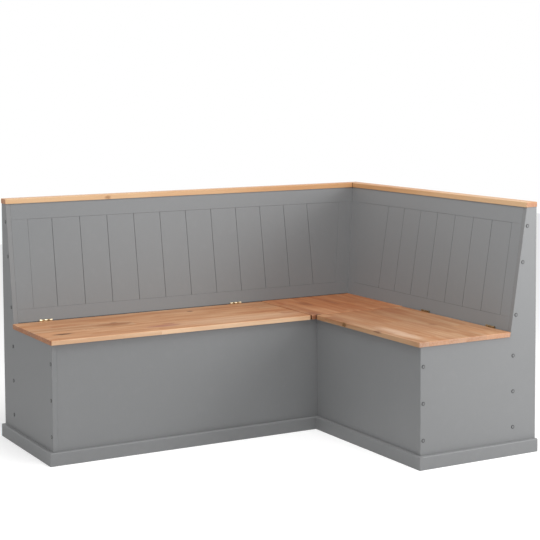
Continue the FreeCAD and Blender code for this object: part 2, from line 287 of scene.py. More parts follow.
addLamps()
makeWorld()
addGround()
scene.view_settings.view_transform = "Standard"
print("light and floor ready")


# Solid wood, as a figure through the whole thickness, with the grain along the vector's x.
# The layers say how finely each is drawn along the grain, across it and through the board.
woodLayers = {
    "slow": (1.6, 16.0, 16.0),
    "band": (3.2, 42.0, 42.0),
    "fine": (6.0, 120.0, 120.0),
    "fibre": (28.0, 900.0, 900.0),
    "pores": (1.0, 150.0, 260.0),
    "knots": (0.8, 1.0, 1.0),
}
growth = {
    "knotsPerMetre": 3.6,
    "knotRarity": 0.78,
    "knotEdge": (-0.004, 0.006),
    "knotFade": (0.002, 0.006),
    "bendFade": (0.002, 0.01),
    "knotRadius": 0.026,
    "knotColour": (0.130, 0.055, 0.022, 1),
    "knotBend": 0.007,
    "knotReach": 0.16,
    "pithLeast": 0.015,
    "pithSpread": 0.11,
    "pithTilt": 0.05,
    "waviness": 0.022,
    "lateWood": 2.6,
    "ringEnd": 0.93,
    "warm": (1.04, 0.92, 0.80, 1),
    "cool": (0.98, 1.06, 1.16, 1),
    "roughness": 0.44,
}

# How strongly each part of the figure shows, and the levels between which it comes in
shades = {
    "band": 0.72,
    "bandRange": (0.34, 0.66),
    "late": 0.42,
    "streak": 0.60,
    "streakRange": (0.54, 0.72),
    "streakBreaks": (0.38, 0.62),
    "line": 0.38,
    "lineRange": (0.42, 0.72),
    "knot": 0.85,
    "steepRange": (0.70, 0.92),
    "poreRange": (0.40, 0.66),
    "endRange": (0.45, 0.95),
    "staveSwing": 0.22,
    "fibreSwing": 0.18,
    "edgeBand": (0.70, 0.30, 0.0, 0.38),
    "glue": 0.45,
    "glueRange": (0.490, 0.4995),
    "roughness": {"late": -0.05, "fibre": 0.08, "end": 0.22},
    "relief": {"late": 0.5, "fibre": 0.5, "glue": 0.6},
}


def makeWoodFigure():
    tree, given, out = newGroup(
        "woodFigure",
        {
            "Place": "vector",
            "Facing": "vector",
            "Stave width": "value",
            "Stave length": "value",
            "Ring width": "value",
            "Stave contrast": "value",
            "Edge share": "value",
            "Seed": "value",
            "Pale": "colour",
            "Deep": "colour",
            "Streak": "colour",
            "End": "colour",
            "Edge": "colour",
        },
        {"Colour": "colour", "Roughness": "value", "Height": "value"},
    )
    x, y, z = axes(tree, given["Place"])

    # Which stave a point is in: rows across the board, each cut into lengths that are shifted
    rowPlace = divided(tree, y, given["Stave width"])
    row = calc(tree, "FLOOR", rowPlace)
    rowRandom = put(tree, "ShaderNodeTexWhiteNoise", noise_dimensions="2D")
    tree.links.new(joined(tree, row, given["Seed"], 0.0), rowRandom.inputs["Vector"])
    shift = plus(tree, divided(tree, x, given["Stave length"]), rowRandom.outputs["Value"])
    stave = calc(tree, "FLOOR", shift)
    staveRandom = put(tree, "ShaderNodeTexWhiteNoise", noise_dimensions="3D")
    tree.links.new(joined(tree, row, stave, given["Seed"]), staveRandom.inputs["Vector"])
    chance = put(tree, "ShaderNodeSeparateColor")
    tree.links.new(staveRandom.outputs["Color"], chance.inputs[0])
    toneChance, pithChance, tiltChance = chance.outputs

    # Each stave's own place in the tree, so that no figure runs on over a glue line
    ownOffset = joined(
        tree,
        times(tree, toneChance, 7.0),
        times(tree, pithChance, 5.0),
        times(tree, tiltChance, 3.0),
    )

    def layer(name, detail, roughness=0.5, offset=ownOffset):
        return noise(tree, stretched(tree, given["Place"], woodLayers[name], offset), 1.0, detail, roughness)

    slow = layer("slow", 2.0)
    band = layer("band", 3.0, 0.55)
    fine = layer("fine", 3.0, 0.6)
    fibre = layer("fibre", 2.0, 0.6, None)

    # Knots go through the thickness; the rings bend round them
    knot = put(tree, "ShaderNodeTexVoronoi", voronoi_dimensions="2D", feature="F1")
    knot.inputs["Scale"].default_value = growth["knotsPerMetre"]
    knot.inputs["Randomness"].default_value = 1.0
    tree.links.new(stretched(tree, given["Place"], woodLayers["knots"], ownOffset), knot.inputs["Vector"])
    knotChance = put(tree, "ShaderNodeSeparateColor")
    tree.links.new(knot.outputs["Color"], knotChance.inputs[0])
    rarity, away = growth["knotRarity"], knot.outputs["Distance"]
    knotSize = smoothBetween(tree, knotChance.outputs[0], rarity, 1.0, 0.0, growth["knotRadius"])
    knotCore = smoothBetween(tree, minus(tree, away, knotSize), *growth["knotEdge"], 1.0, 0.0)
    knotCore = times(tree, knotCore, smoothBetween(tree, knotSize, *growth["knotFade"]))
    knotBend = smoothBetween(tree, away, 0.0, growth["knotReach"], growth["knotBend"], 0.0)
    knotBend = times(tree, knotBend, smoothBetween(tree, knotSize, *growth["bendFade"]))

    # Growth rings about a pith that lies below or above the board and rises along it
    tilt = noiseAbout(tree, tiltChance, growth["pithTilt"])
    pithHeight = calc(tree, "MULTIPLY_ADD", pithChance, growth["pithSpread"], growth["pithLeast"])
    height = plus(tree, plus(tree, z, pithHeight), times(tree, x, tilt))
    across = minus(tree, calc(tree, "FRACT", rowPlace), 0.5)
    aside = times(tree, plus(tree, across, minus(tree, toneChance, 0.5)), given["Stave width"])
    radius = calc(tree, "SQRT", plus(tree, squared(tree, height), squared(tree, aside)))
    radius = plus(tree, radius, times(tree, slow, growth["waviness"]))
    radius = plus(tree, radius, knotBend)
    ring = calc(tree, "FRACT", divided(tree, radius, given["Ring width"]))
    late = calc(tree, "POWER", ring, growth["lateWood"])
    late = times(tree, late, smoothBetween(tree, ring, 1.0, growth["ringEnd"]))

    # Colours: bands and late wood deepen it, and a few streaks are reddish
    deepness = times(tree, smoothBetween(tree, band, *shades["bandRange"]), shades["band"])
    deepness = plus(tree, deepness, times(tree, late, shades["late"]), True)
    colour = mixColour(tree, deepness, given["Pale"], given["Deep"])
    streak = smoothBetween(tree, slow, *shades["streakRange"])
    streak = times(tree, streak, smoothBetween(tree, fine, *shades["streakBreaks"]))
    colour = mixColour(tree, times(tree, streak, shades["streak"]), colour, given["Streak"])
    fineLines = times(tree, smoothBetween(tree, fine, *shades["lineRange"]), shades["line"])
    colour = mixColour(tree, fineLines, colour, given["Deep"])
    colour = mixColour(tree, times(tree, knotCore, shades["knot"]), colour, growth["knotColour"])

    # End grain is darker and full of pores
    facing = axes(tree, given["Facing"])
    endGrain = smoothBetween(tree, calc(tree, "ABSOLUTE", facing[0]), *shades["steepRange"])
    pores = smoothBetween(tree, layer("pores", 3.0, 0.6, None), *shades["poreRange"])
    endAmount = times(tree, endGrain, smoothBetween(tree, pores, 0.0, 1.0, *shades["endRange"]))
    colour = mixColour(tree, endAmount, colour, given["End"])

    # Warmer and cooler staves, then the colour of a side; on the seat boards it is partly painted light and
    # shade, paler on lit front edges and ends, darker on sides turned from the light
    warmth = mixColour(tree, toneChance, growth["warm"], growth["cool"])
    colour = mixColour(tree, given["Stave contrast"], colour, tinted(tree, colour, warmth))
    tone = minus(tree, pithChance, 0.5)
    tone = times(tree, tone, times(tree, given["Stave contrast"], shades["staveSwing"]))
    tone = plus(tree, tone, noiseAbout(tree, fibre, shades["fibreSwing"]))
    tone = plus(tree, tone, 1.0)
    colour = tinted(tree, colour, joined(tree, tone, tone, tone))
    sideFace = smoothBetween(tree, calc(tree, "ABSOLUTE", facing[1]), *shades["steepRange"])
    edgeAmount = plus(tree, smoothBetween(tree, band, *shades["edgeBand"]), given["Edge share"])
    colour = mixColour(tree, times(tree, sideFace, edgeAmount, True), colour, given["Edge"])

    # Hairline glue joints between the rows
    glue = smoothBetween(tree, calc(tree, "ABSOLUTE", across), *shades["glueRange"])
    colour = mixColour(tree, times(tree, glue, shades["glue"]), colour, given["Streak"])
    tree.links.new(colour, out.inputs["Colour"])

    share = shades["roughness"]
    rough = plus(tree, times(tree, late, share["late"]), growth["roughness"])
    rough = plus(tree, rough, times(tree, fibre, share["fibre"]))
    rough = plus(tree, rough, times(tree, endGrain, share["end"]))
    tree.links.new(rough, out.inputs["Roughness"])
    share = shades["relief"]
    relief = plus(tree, times(tree, late, share["late"]), times(tree, fibre, share["fibre"]))
    relief = minus(tree, relief, times(tree, glue, share["glue"]))
    tree.links.new(relief, out.inputs["Height"])
    return tree


# One mark: a knot, a flame or a patch of painted shadow, drawn out along the grain, with an uneven edge


def makeMark():
    tree, given, out = newGroup(
        "woodMarkAndShadow",
        {
            "Place": "vector",
            "Centre": "vector",
            "Reach": "vector",
            "Amount": "value",
            "Colour": "colour",
            "Mark": "colour",
        },
        {"Colour": "colour"},
    )
    away = vectorCalc(tree, "SUBTRACT", given["Place"], given["Centre"])[0]
    share = vectorCalc(tree, "DIVIDE", away, given["Reach"])[0]
    uneven = times(tree, noise(tree, share, 2.2, 3.0, 0.6), 0.9)
    distance = plus(tree, vectorCalc(tree, "LENGTH", share)["Value"], uneven)
    core = times(tree, smoothBetween(tree, distance, 1.45, 0.75), given["Amount"])
    tree.links.new(mixColour(tree, core, given["Colour"], given["Mark"]), out.inputs["Colour"])
    return tree


# A tone that deepens towards one place: partly the wood's own tone, partly painted shade where the corner of
# the bench gets less light


def makeTone():
    tree, given, out = newGroup(
        "toneAndCornerShade",
        {
            "Place": "vector",
            "Centre": "vector",
            "Near": "value",
            "Far": "value",
            "Colour": "colour",
            "Level": "colour",
            "Tint": "colour",
        },
        {"Colour": "colour"},
    )
    gap = vectorCalc(tree, "DISTANCE", given["Place"], given["Centre"])["Value"]
    gap = plus(tree, gap, noiseAbout(tree, noise(tree, given["Place"], 6.0, 2.0), 0.25))
    amount = smoothBetween(tree, gap, given["Far"], given["Near"])
    level = tinted(tree, given["Colour"], given["Level"])
    tree.links.new(mixColour(tree, amount, level, tinted(tree, level, given["Tint"])), out.inputs["Colour"])
    return tree


# A brushed or sprayed paint film: faint mottling, flow texture and rubbed patches


def makePaintFilm():
    tree, given, out = newGroup(
        "paintFilm",
        {"Place": "vector", "Colour": "colour", "Rubbed": "colour", "Wear": "value"},
        {"Colour": "colour", "Roughness": "value", "Height": "value"},
    )
    cloud = noise(tree, given["Place"], 2.3, 3.0)
    grain = noise(tree, stretched(tree, given["Place"], (1.0, 1.0, 0.22)), 160.0, 2.0)
    peel = noise(tree, given["Place"], 900.0, 2.0)
    tone = plus(tree, noiseAbout(tree, cloud, 0.10), 1.0)
    tone = plus(tree, tone, noiseAbout(tree, grain, 0.035))
    colour = tinted(tree, given["Colour"], joined(tree, tone, tone, tone))
    patches = smoothBetween(tree, noise(tree, given["Place"], 26.0, 4.0, 0.65), 0.52, 0.72)
    colour = mixColour(tree, times(tree, patches, given["Wear"]), colour, given["Rubbed"])
    tree.links.new(colour, out.inputs["Colour"])
    rough = plus(tree, times(tree, cloud, 0.10), 0.42)
    tree.links.new(rough, out.inputs["Roughness"])
    relief = plus(tree, times(tree, peel, 0.6), times(tree, grain, 0.4))
    tree.links.new(relief, out.inputs["Height"])
    return tree


# A trace of dust on what faces up
dustColour = (0.62, 0.60, 0.57, 1)


def makeDust():
    tree, given, out = newGroup(
        "settledDust",
        {"Place": "vector", "Facing": "vector", "Colour": "colour", "Amount": "value"},
        {"Colour": "colour"},
    )
    upward = smoothBetween(tree, axes(tree, given["Facing"])[2], 0.55, 0.95)
    scatter = smoothBetween(tree, noise(tree, given["Place"], 420.0, 3.0, 0.7), 0.50, 0.80)
    cloud = smoothBetween(tree, noise(tree, given["Place"], 5.0, 2.0), 0.35, 0.75)
    amount = times(tree, times(tree, scatter, cloud), times(tree, upward, given["Amount"]))
    tree.links.new(mixColour(tree, amount, given["Colour"], dustColour), out.inputs["Colour"])
    return tree


woodFigure = makeWoodFigure()
woodMarkAndShadow = makeMark()
toneAndCornerShade = makeTone()
paintFilm = makePaintFilm()
settledDust = makeDust()
print("shader groups built")


def startMaterial(name):
    material = bpy.data.materials.new(name)
    material.use_nodes = True
    tree = material.node_tree
    tree.nodes.clear()
    shader = put(tree, "ShaderNodeBsdfPrincipled")
    tree.links.new(shader.outputs[0], put(tree, "ShaderNodeOutputMaterial").inputs["Surface"])
    return material, tree, shader


def useGroup(tree, group, values):
    node = put(tree, "ShaderNodeGroup", node_tree=group)
    for name, value in values.items():
        feed(tree, node.inputs[name], value)
    return node.outputs


def turnedPlace(tree, turn):
    # Object place and facing, turned so that the grain lies along x
    source = put(tree, "ShaderNodeTexCoord")
    found = []
    for name, kind in (("Object", "POINT"), ("Normal", "VECTOR")):
        node = put(tree, "ShaderNodeMapping", vector_type=kind)
        node.inputs["Rotation"].default_value = turn
        tree.links.new(source.outputs[name], node.inputs["Vector"])
        found.append(node.outputs[0])
    return found + [source.outputs["Object"], source.outputs["Normal"]]


def bumped(tree, shader, height, strength, distance):
    node = put(tree, "ShaderNodeBump")
    node.inputs["Strength"].default_value = strength
    node.inputs["Distance"].default_value = distance
    tree.links.new(height, node.inputs["Height"])
    tree.links.new(node.outputs[0], shader.inputs["Normal"])


# Seat wood: the pale Edge colour on the long lid's front edge is partly painted light
seatWood = {
    "Stave width": 0.085,
    "Stave length": 0.90,
    "Ring width": 0.0048,
    "Stave contrast": 0.55,
    "Edge share": 0.48,
    "Pale": (0.600, 0.352, 0.198, 1),
    "Deep": (0.425, 0.178, 0.068, 1),
    "Streak": (0.330, 0.110, 0.042, 1),
    "End": (0.300, 0.130, 0.074, 1),
    "Edge": (0.800, 0.560, 0.370, 1),
}
# The short lid: a paler end and a darker front edge than the long lid's, painted light and shade
shortSeatWood = dict(
    seatWood,
    **{"Edge share": 0.30, "Edge": (0.540, 0.330, 0.190, 1), "End": (0.580, 0.350, 0.245, 1)},
)
# The corner board's front end and sides stand in narrow gaps: their dark colours are partly end grain,
# partly painted shade
cornerWoodShaded = dict(seatWood, **{"End": (0.210, 0.075, 0.040, 1), "Edge": (0.12, 0.05, 0.025, 1)})
capWood = dict(
    seatWood,
    **{
        "Stave width": 0.160,
        "Stave length": 1.10,
        "Stave contrast": 0.30,
        "Pale": (0.640, 0.410, 0.235, 1),
        "Deep": (0.560, 0.300, 0.145, 1),
        "Streak": (0.480, 0.220, 0.100, 1),
        "End": (0.420, 0.190, 0.120, 1),
        "Edge": (0.690, 0.445, 0.250, 1),
    },
)
bareWood = dict(
    seatWood,
    **{
        "Stave width": 0.30,
        "Stave length": 3.0,
        "Stave contrast": 0.25,
        "Pale": (0.640, 0.450, 0.268, 1),
        "Deep": (0.520, 0.322, 0.158, 1),
        "Streak": (0.440, 0.240, 0.110, 1),
        "End": (0.430, 0.262, 0.140, 1),
        "Edge": (0.600, 0.410, 0.240, 1),
    },
)

# Tone of each board: its own level, and a deeper tint round the corner of the bench, which is partly painted
# shade
cornerShade = {"Centre": (0.69, 0.50, 0.462), "Near": 0.25, "Far": 0.85}
tones = {
    "long": dict(cornerShade, Level=(0.95, 0.96, 0.95, 1), Tint=(0.85, 0.66, 0.50, 1)),
    "short": dict(cornerShade, Level=(0.83, 0.82, 0.79, 1), Tint=(0.85, 0.66, 0.50, 1)),
    "corner": dict(cornerShade, Level=(0.93, 0.92, 0.90, 1), Tint=(0.84, 0.62, 0.46, 1)),
    "cap": {
        "Centre": (0.78, 0.58, 0.93),
        "Near": 0.20,
        "Far": 0.90,
        "Level": (0.98, 1.0, 1.0, 1),
        "Tint": (0.93, 0.80, 0.66, 1),
    },
}

# Marks in the boards: where, how far they reach, how strong, and their colour. The last corner one is a
# painted shadow in the slot beside the short lid
marks = {
    "long": (
        ((-0.734, 0.196, 0.462), (0.054, 0.021, 0.03), 0.95, (0.120, 0.050, 0.018, 1)),
        ((-0.483, 0.298, 0.462), (0.105, 0.038, 0.03), 0.80, (0.290, 0.112, 0.038, 1)),
        ((-0.331, 0.170, 0.462), (0.100, 0.026, 0.03), 0.90, (0.270, 0.062, 0.036, 1)),
        ((-0.300, 0.205, 0.462), (0.040, 0.016, 0.03), 0.60, (0.240, 0.060, 0.036, 1)),
        ((-0.475, 0.330, 0.462), (0.022, 0.014, 0.03), 0.75, (0.200, 0.070, 0.026, 1)),
        ((-0.098, 0.427, 0.462), (0.018, 0.016, 0.03), 0.95, (0.140, 0.055, 0.022, 1)),
        ((-0.020, 0.165, 0.462), (0.480, 0.085, 0.03), 0.38, (0.680, 0.470, 0.310, 1)),
        ((-0.560, 0.440, 0.462), (0.380, 0.065, 0.03), 0.45, (0.400, 0.175, 0.070, 1)),
        ((-0.150, 0.330, 0.462), (0.260, 0.030, 0.03), 0.45, (0.400, 0.165, 0.065, 1)),
        ((-0.560, 0.120, 0.462), (0.220, 0.022, 0.03), 0.40, (0.400, 0.170, 0.080, 1)),
    ),
    "short": (
        ((0.345, -0.420, 0.462), (0.042, 0.190, 0.03), 0.42, (0.720, 0.530, 0.390, 1)),
        ((0.294, -0.120, 0.452), (0.030, 0.020, 0.014), 0.98, (0.185, 0.088, 0.028, 1)),
        ((0.294, -0.349, 0.459), (0.030, 0.038, 0.006), 0.80, (0.180, 0.080, 0.040, 1)),
        ((0.610, 0.020, 0.462), (0.060, 0.150, 0.03), 0.60, (0.300, 0.100, 0.036, 1)),
        ((0.500, -0.300, 0.462), (0.036, 0.260, 0.03), 0.42, (0.340, 0.135, 0.052, 1)),
        ((0.420, -0.120, 0.462), (0.020, 0.150, 0.03), 0.35, (0.340, 0.140, 0.056, 1)),
        ((0.560, -0.330, 0.462), (0.020, 0.034, 0.03), 0.60, (0.260, 0.095, 0.036, 1)),
    ),
    "corner": (
        ((0.263, 0.307, 0.462), (0.014, 0.034, 0.03), 0.75, (0.230, 0.075, 0.026, 1)),
        ((0.300, 0.120, 0.462), (0.040, 0.060, 0.03), 0.80, (0.250, 0.085, 0.036, 1)),
        ((0.400, 0.350, 0.462), (0.030, 0.080, 0.03), 0.60, (0.220, 0.070, 0.022, 1)),
        ((0.520, 0.330, 0.462), (0.024, 0.120, 0.03), 0.45, (0.240, 0.080, 0.026, 1)),
        # Painted shadow in the slot between the corner board's front end and the short lid
        ((0.309, 0.0915, 0.452), (0.018, 0.004, 0.05), 1.00, (0.030, 0.012, 0.006, 1)),
    ),
    "cap": (((-0.387, 0.578, 0.928), (0.018, 0.050, 0.010), 0.75, (0.330, 0.150, 0.060, 1)),),
}
surfaces = {
    "oiled": {"gloss": 0.42, "relief": 0.35, "reliefDepth": 0.00025},
    "bare": {"gloss": 0.22, "relief": 0.6, "reliefDepth": 0.00025},
}
quarter = math.pi / 2
grainTurns = {"x": (0, 0, 0), "y": (0, 0, -quarter), "z": (0, quarter, 0)}

# The joint between the caps of the two wings lies where x less y is this
capMitre = {
    "plane": 0.2025,
    "core": 0.0012,
    "reach": 0.0030,
    "amount": 0.85,
    "colour": (0.10, 0.045, 0.02, 1),
}


def woodMaterial(name, look, grain, seed, dust, surface, tone=None, mitred=False):
    material, tree, shader = startMaterial(name)
    place, facing, plainPlace, plainFacing = turnedPlace(tree, grainTurns[grain])
    figure = useGroup(tree, woodFigure, dict(look, Place=place, Facing=facing, Seed=seed))
    colour = figure["Colour"]
    if tone:
        # The board's own level, then painted shade deepening towards the corner
        colour = useGroup(tree, toneAndCornerShade, dict(tones[tone], Place=plainPlace, Colour=colour))["Colour"]
        for centre, reach, amount, markColour in marks[tone]:
            values = {"Centre": centre, "Reach": reach, "Amount": amount, "Mark": markColour}
            colour = useGroup(tree, woodMarkAndShadow, dict(values, Place=plainPlace, Colour=colour))["Colour"]
    if mitred:
        # A thin dark line where the boards of the two wings meet
        x, y, _ = axes(tree, plainPlace)
        off = calc(tree, "ABSOLUTE", minus(tree, minus(tree, x, y), capMitre["plane"]))
        line = smoothBetween(tree, off, capMitre["reach"], capMitre["core"])
        colour = mixColour(tree, times(tree, line, capMitre["amount"]), colour, capMitre["colour"])
    dusty = useGroup(
        tree,
        settledDust,
        {"Place": plainPlace, "Facing": plainFacing, "Colour": colour, "Amount": dust},
    )
    tree.links.new(dusty["Colour"], shader.inputs["Base Color"])
    tree.links.new(figure["Roughness"], shader.inputs["Roughness"])
    sheen = surfaces[surface]
    shader.inputs["Specular IOR Level"].default_value = sheen["gloss"]
    bumped(tree, shader, figure["Height"], sheen["relief"], sheen["reliefDepth"])
    return material


paint = {
    "Colour": (0.207, 0.2105, 0.2135, 1),
    "Rubbed": (0.290, 0.294, 0.297, 1),
    "faceWear": 0.06,
    "arrisWearAndHighlight": 0.55,
    "dust": 0.10,
    # The colour of painted shade in joints and gaps; railLine and lidLine set the heights of the painted
    # shade lines
    "paintedShade": (0.030, 0.029, 0.028, 1),
    "backColour": (0.205, 0.2125, 0.218, 1),
    "longBackLevel": 0.97,
    "shortBackLevel": 1.09,
    "railLine": 0.0012,
    "lidLine": 0.0022,
    "lineFade": 0.0003,
    "steepRange": (0.80, 0.95),
    "frontRange": (-0.3, -0.7),
    "gloss": 0.45,
    "relief": 0.25,
    "reliefDepth": 0.00012,
}


def backPaintForLight(level):
    # The backrests' paint is a touch cooler, against the warm light the seat throws on it, and each wing's
    # has its own level for the light it gets: painted light and shade
    return tuple(channel * level for channel in paint["backColour"][:3]) + (1,)


def paintMaterial(
    name, wear, base=paint["Colour"], wallAxis=None, lowLine=None, lowShade=1.0, frontAxis=1
):
    # Joint walls, and the front of a piece below a line, are painted darker: painted shade in the joints
    # between boards, in the gap behind the lid and where the boards meet the bottom rail
    material, tree, shader = startMaterial(name)
    source = put(tree, "ShaderNodeTexCoord").outputs
    film = useGroup(
        tree,
        paintFilm,
        {"Place": source["Object"], "Colour": base, "Rubbed": paint["Rubbed"], "Wear": wear},
    )
    dusty = useGroup(
        tree,
        settledDust,
        {
            "Place": source["Object"],
            "Facing": source["Normal"],
            "Colour": film["Colour"],
            "Amount": paint["dust"],
        },
    )
    colour = dusty["Colour"]
    if wallAxis is not None:
        steep = calc(tree, "ABSOLUTE", axes(tree, source["Normal"])[wallAxis])
        wall = smoothBetween(tree, steep, *paint["steepRange"])
        colour = mixColour(tree, wall, colour, paint["paintedShade"])
    if lowLine is not None:
        top, bottom = lowLine + paint["lineFade"], lowLine - paint["lineFade"]
        low = smoothBetween(tree, axes(tree, source["Object"])[2], top, bottom)
        front = smoothBetween(tree, axes(tree, source["Normal"])[frontAxis], *paint["frontRange"])
        amount = times(tree, times(tree, low, front), lowShade)
        colour = mixColour(tree, amount, colour, paint["paintedShade"])
    tree.links.new(colour, shader.inputs["Base Color"])
    tree.links.new(film["Roughness"], shader.inputs["Roughness"])
    shader.inputs["Specular IOR Level"].default_value = paint["gloss"]
    bumped(tree, shader, film["Height"], paint["relief"], paint["reliefDepth"])
    return material


def metalMaterial(name, bright, dull, rough, spread):
    # Metal with a dull bloom in patches and fine turning marks
    material, tree, shader = startMaterial(name)
    place = put(tree, "ShaderNodeTexCoord").outputs["Object"]
    bloom = smoothBetween(tree, noise(tree, place, 140.0, 4.0, 0.6), 0.40, 0.68)
    turning = noise(tree, stretched(tree, place, (1.0, 1.0, 7.0)), 1600.0, 2.0)
    colour = mixColour(tree, times(tree, bloom, spread), bright, dull)
    tree.links.new(colour, shader.inputs["Base Color"])
    tree.links.new(plus(tree, times(tree, bloom, 0.18), rough), shader.inputs["Roughness"])
    shader.inputs["Metallic"].default_value = 1.0
    bumped(tree, shader, turning, 0.2, 0.00005)
    return material


def plasticMaterial(name, colour, rim):
    # Moulded caps: a matt button, with a darker rim that is painted shadow of the gap round the cap
    material, tree, shader = startMaterial(name)
    place = put(tree, "ShaderNodeTexCoord").outputs["Object"]
    speck = noise(tree, place, 1200.0, 2.0)
    cloud = noiseAbout(tree, noise(tree, place, 300.0, 2.0), 0.12)
    radial = put(tree, "ShaderNodeAttribute", attribute_name="radial").outputs["Fac"]
    ring = smoothBetween(tree, plus(tree, radial, cloud), 0.62, 0.72)
    tree.links.new(mixColour(tree, ring, colour, rim), shader.inputs["Base Color"])
    tree.links.new(plus(tree, times(tree, speck, 0.12), 0.42), shader.inputs["Roughness"])
    bumped(tree, shader, speck, 0.3, 0.0001)
    return material


greyPaint = paintMaterial("greyPaint", paint["faceWear"])
# Eased arrises get paler rubbed patches: wear, and also a painted highlight for the light the edges catch
paintArris = paintMaterial("greyPaintArris", paint["arrisWearAndHighlight"])
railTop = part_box("long_bottom_rail")[1][2]
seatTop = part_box("long_lid")[1][2]
# Lit and shaded copies of the back paint, one for each wing
longBack = backPaintForLight(paint["longBackLevel"])
shortBack = backPaintForLight(paint["shortBackLevel"])
paintLongFrame = paintMaterial("greyPaintLongFrame", paint["faceWear"], longBack)
paintShortFrame = paintMaterial("greyPaintShortFrame", paint["faceWear"], shortBack)
# The long bottom rail is painted dark in the gap behind the lid: painted shadow
paintLongRail = paintMaterial(
    "greyPaintLongRail",
    paint["faceWear"],
    longBack,
    lowLine=seatTop + paint["lidLine"],
    lowShade=0.85,
)
# Boards: painted shade at their foot against the bottom rail, and on the short wing in their joints
paintLongBoards = paintMaterial(
    "greyPaintLongBoards",
    paint["faceWear"],
    longBack,
    lowLine=railTop + paint["railLine"],
    lowShade=0.30,
)
paintShortBoards = paintMaterial(
    "greyPaintShortBoards",
    paint["faceWear"],
    shortBack,
    wallAxis=1,
    lowLine=railTop + paint["railLine"],
    lowShade=0.45,
    frontAxis=0,
)
seatAlongX = woodMaterial("seatWoodLongWing", seatWood, "x", 3.0, 0.05, "oiled", "long")
seatAlongY = woodMaterial("seatWoodShortWing", shortSeatWood, "y", 11.0, 0.05, "oiled", "short")
seatCorner = woodMaterial("seatWoodCorner", cornerWoodShaded, "y", 23.0, 0.05, "oiled", "corner")
capAlongX = woodMaterial("capWoodLongWing", capWood, "x", 5.0, 0.10, "oiled", "cap", True)
capAlongY = woodMaterial("capWoodShortWing", capWood, "y", 17.0, 0.10, "oiled", "cap", True)
bareAlongX = woodMaterial("bareWoodAlongX", bareWood, "x", 31.0, 0.12, "bare")
bareAlongY = woodMaterial("bareWoodAlongY", bareWood, "y", 37.0, 0.12, "bare")
bareUpright = woodMaterial("bareWoodUpright", bareWood, "z", 41.0, 0.12, "bare")
brass = metalMaterial("hingeBrass", (0.90, 0.78, 0.56, 1), (0.66, 0.48, 0.26, 1), 0.30, 0.35)
# A darker copy of the hinge brass, for the short wing's fixed leaves and every lid leaf
darkBrass = metalMaterial("hingeBrassDarker", (0.36, 0.25, 0.13, 1), (0.16, 0.10, 0.05, 1), 0.38, 0.8)
screwSteel = metalMaterial("screwZinc", (0.66, 0.65, 0.62, 1), (0.42, 0.41, 0.39, 1), 0.30, 0.5)
screwBrass = metalMaterial("screwBrass", (0.80, 0.62, 0.33, 1), (0.50, 0.33, 0.16, 1), 0.30, 0.5)
capPlastic = plasticMaterial("coverCapPlastic", (0.175, 0.178, 0.182, 1), (0.050, 0.050, 0.051, 1))
print("materials built")


# What each node of the frame is finished with
finishes = {
    "long_lid": seatAlongX,
    "short_lid": seatAlongY,
    "corner_seat": seatCorner,
    "long_cap": capAlongX,
    "short_cap": capAlongY,
    "long_lid_battens": bareAlongY,
    "short_lid_battens": bareAlongX,
    "long_floor_board": bareAlongX,
    "short_floor_board": bareAlongY,
    "long_divider": bareUpright,
    "short_divider": bareUpright,
    "inner_corner_post": bareUpright,
    "rear_corner_post": bareUpright,
    "floor_cleats": bareAlongX,
    "long_hinge_fixed_leaves": brass,
    "short_hinge_fixed_leaves": darkBrass,
    "long_hinge_lid_leaves": darkBrass,
    "short_hinge_lid_leaves": darkBrass,
    "hinge_pins": brass,
    "cover_caps": capPlastic,
}
for wing, framePaint, boardPaint in (
    ("long", paintLongFrame, paintLongBoards),
    ("short", paintShortFrame, paintShortBoards),
):
    for name in nodes:
        if name.startswith(wing) and name.endswith(("_rail", "_stile")):
            finishes[name] = framePaint
        if name.startswith(wing + "_board_"):
            finishes[name] = boardPaint
finishes["long_bottom_rail"] = paintLongRail


for name, obj in nodes.items():
    obj.data.materials.clear()
    obj.data.materials.append(finishes.get(name, greyPaint))
print("frame finished in", len(set(finishes.values())) + 1, "materials")


def plainMesh(obj):
    # The evaluated object as a plain mesh, with its modifiers gone
    evaluated = obj.evaluated_get(bpy.context.evaluated_depsgraph_get())
    mesh = bpy.data.meshes.new_from_object(evaluated)
    obj.modifiers.clear()
    old = obj.data
    obj.data = mesh
    bpy.data.meshes.remove(old)


# Panels, frames, battens and inner boards with eased arrises, so that their edges catch light
softening = {
    "panels": {
        "nodes": ("left_end_panel", "right_end_panel", "long_front_panel", "short_front_panel"),
        "width": 0.0010,
        "arris": paintArris,
    },
    "innerBacks": {"nodes": ("long_inner_back", "short_inner_back"), "width": 0.0008, "arris": paintArris},
    "frames": {
        "nodes": tuple(
            wing + part
            for wing in ("long", "short")
            for part in ("_top_rail", "_bottom_rail", "_end_stile", "_corner_stile")
        ),
        "width": 0.0007,
        "arris": paintArris,
    },
    "battens": {"nodes": ("long_lid_battens", "short_lid_battens"), "width": 0.0025, "arris": None},
    "innerBoards": {
        "nodes": (
            "long_divider",
            "short_divider",
            "long_floor_board",
            "short_floor_board",
            "inner_corner_post",
            "rear_corner_post",
        ),
        "width": 0.0010,
        "arris": None,
    },
}


# Corners nearer than the weld are one corner; angles are in degrees
easing = {"weld": 1e-5, "flat": 1, "arris": 30, "segments": 2}


def weldedCopy(name):
    shape = bmesh.new()
    shape.from_mesh(nodes[name].data)
    bmesh.ops.remove_doubles(shape, verts=shape.verts, dist=easing["weld"])
    return shape


